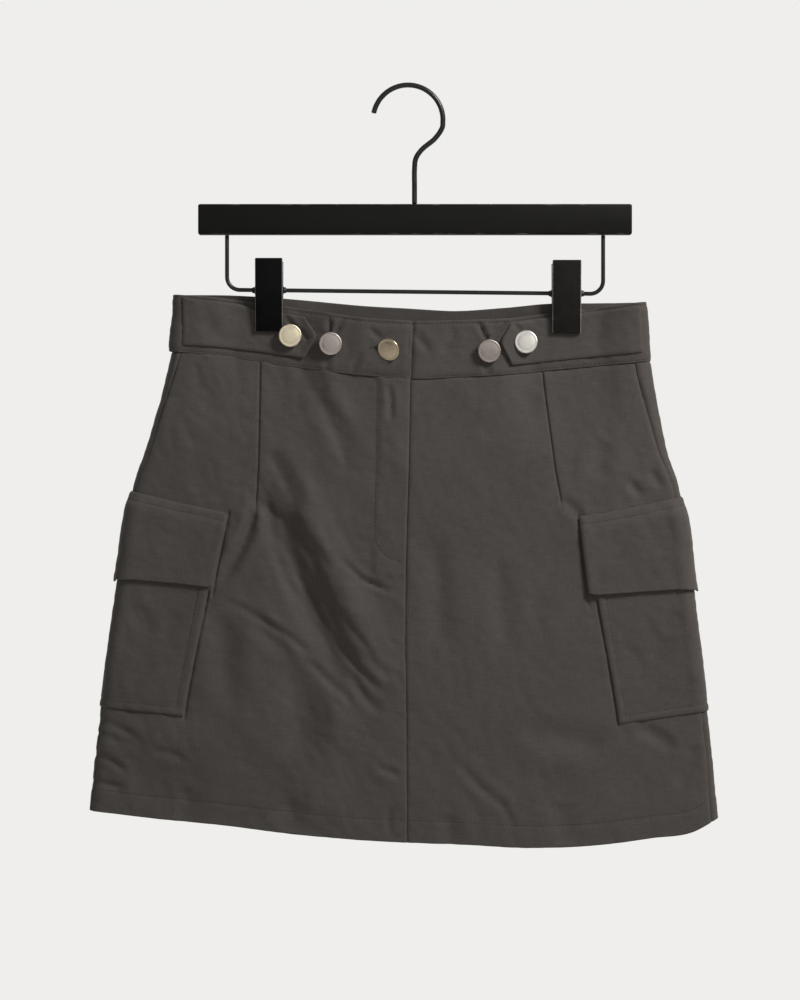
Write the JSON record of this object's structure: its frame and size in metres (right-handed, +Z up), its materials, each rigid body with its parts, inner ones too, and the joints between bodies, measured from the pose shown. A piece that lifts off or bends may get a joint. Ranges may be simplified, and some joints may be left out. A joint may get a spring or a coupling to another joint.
{
  "type": "cargo utility skirt on a clip hanger",
  "caption": "Short A-line woven skirt with buttoned waist tabs and flapped side pockets, hung flat from a clip hanger by its waistband.",
  "frame": {"origin": "inner top of the hanger's hook, the point that rests on a rail or wall hook", "axes": "+Z up; the skirt's front faces -Y; +X is the viewer's right, which is the wearer's left"},
  "size_m": [0.4856, 0.0361, 0.5899],
  "materials": {
    "cloth": "tightly woven cotton-nylon, dark olive grey, matt with a faint dry sheen",
    "button_metal": "satin silver-champagne plated caps",
    "bar_lacquer": "black lacquered bar, edges slightly worn",
    "coated_wire": "black coated steel wire, semi-gloss",
    "clip_plastic": "black moulded clips, satin",
    "spring_steel": "blackened spring steel, semi-gloss"
  },
  "bodies": {
    "root": {"front_right": "cloth", "front_left": "cloth", "back": "cloth", "waistband_front_right": "cloth", "waistband_front_left": "cloth", "waistband_back": "cloth", "tab_left": "cloth", "tab_right": "cloth", "pocket_left": "cloth", "pocket_right": "cloth", "flap_left": "cloth", "flap_right": "cloth", "button_centre": "button_metal", "button_tab_left": "button_metal", "button_band_left": "button_metal", "button_band_right": "button_metal", "button_tab_right": "button_metal", "hanger_bar": "bar_lacquer", "hanger_hook": "coated_wire", "hanger_clip_wire": "coated_wire", "clip_left_front": "clip_plastic", "clip_left_back": "clip_plastic", "clip_left_spring": "spring_steel", "clip_right_front": "clip_plastic", "clip_right_back": "clip_plastic", "clip_right_spring": "spring_steel"}
  },
  "joints": []
}
